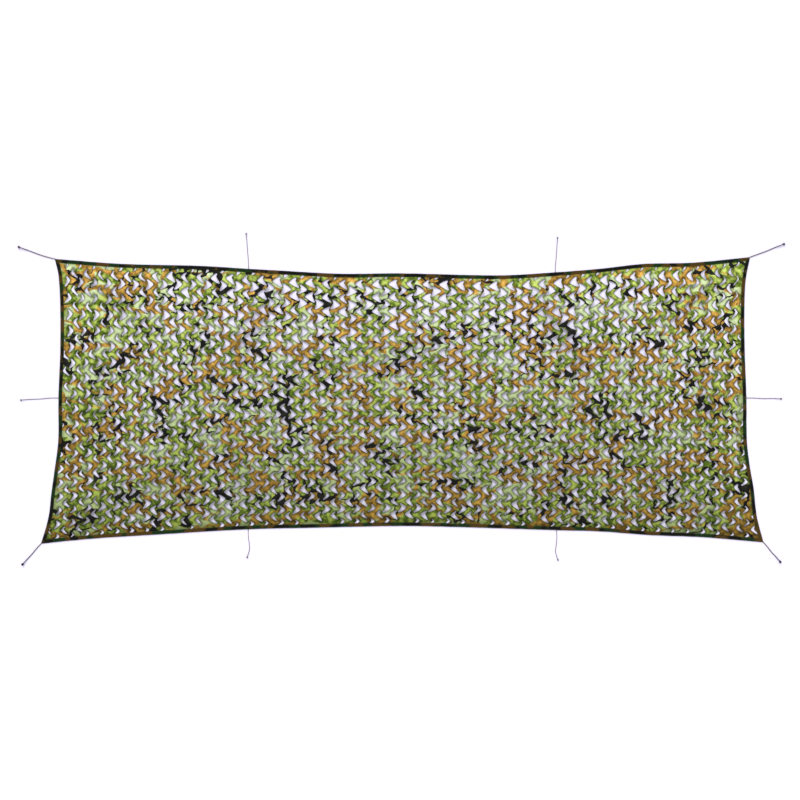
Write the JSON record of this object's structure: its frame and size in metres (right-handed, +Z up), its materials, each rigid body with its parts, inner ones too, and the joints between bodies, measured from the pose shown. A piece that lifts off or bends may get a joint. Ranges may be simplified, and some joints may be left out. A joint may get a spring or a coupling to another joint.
{
  "type": "camouflage net",
  "caption": "Rectangular cover net of slit camouflage cloth drawn open into staggered gaps, with a folded tape along its edges and short knotted ties, laid flat.",
  "frame": {"origin": "on the ground, at the centre of the box around the net and its tapes", "axes": "+X along the net's length, +Y across it towards the edge where its gaps are widest, +Z up"},
  "size_m": [5.4099, 2.3455, 0.0283],
  "materials": {
    "net_cloth": "matt woven cloth printed in lime green, grey green, orange brown and near black",
    "edge_tape": "matt woven tape in very dark green, brown and black",
    "tie_cord": "matt twisted cord in grey khaki, darker towards its knot"
  },
  "bodies": {
    "root": {"net": "net_cloth", "binding_top": "edge_tape", "binding_bottom": "edge_tape", "binding_left": "edge_tape", "binding_right": "edge_tape", "tie_corner_top_left": "tie_cord", "knot_corner_top_left": "tie_cord", "tie_corner_top_right": "tie_cord", "knot_corner_top_right": "tie_cord", "tie_corner_bottom_left": "tie_cord", "knot_corner_bottom_left": "tie_cord", "tie_corner_bottom_right": "tie_cord", "knot_corner_bottom_right": "tie_cord", "tie_top_left": "tie_cord", "knot_top_left": "tie_cord", "tie_top_right": "tie_cord", "knot_top_right": "tie_cord", "tie_bottom_left": "tie_cord", "knot_bottom_left": "tie_cord", "tie_bottom_right": "tie_cord", "knot_bottom_right": "tie_cord", "tie_left": "tie_cord", "knot_left": "tie_cord", "tie_right": "tie_cord", "knot_right": "tie_cord"}
  },
  "joints": []
}
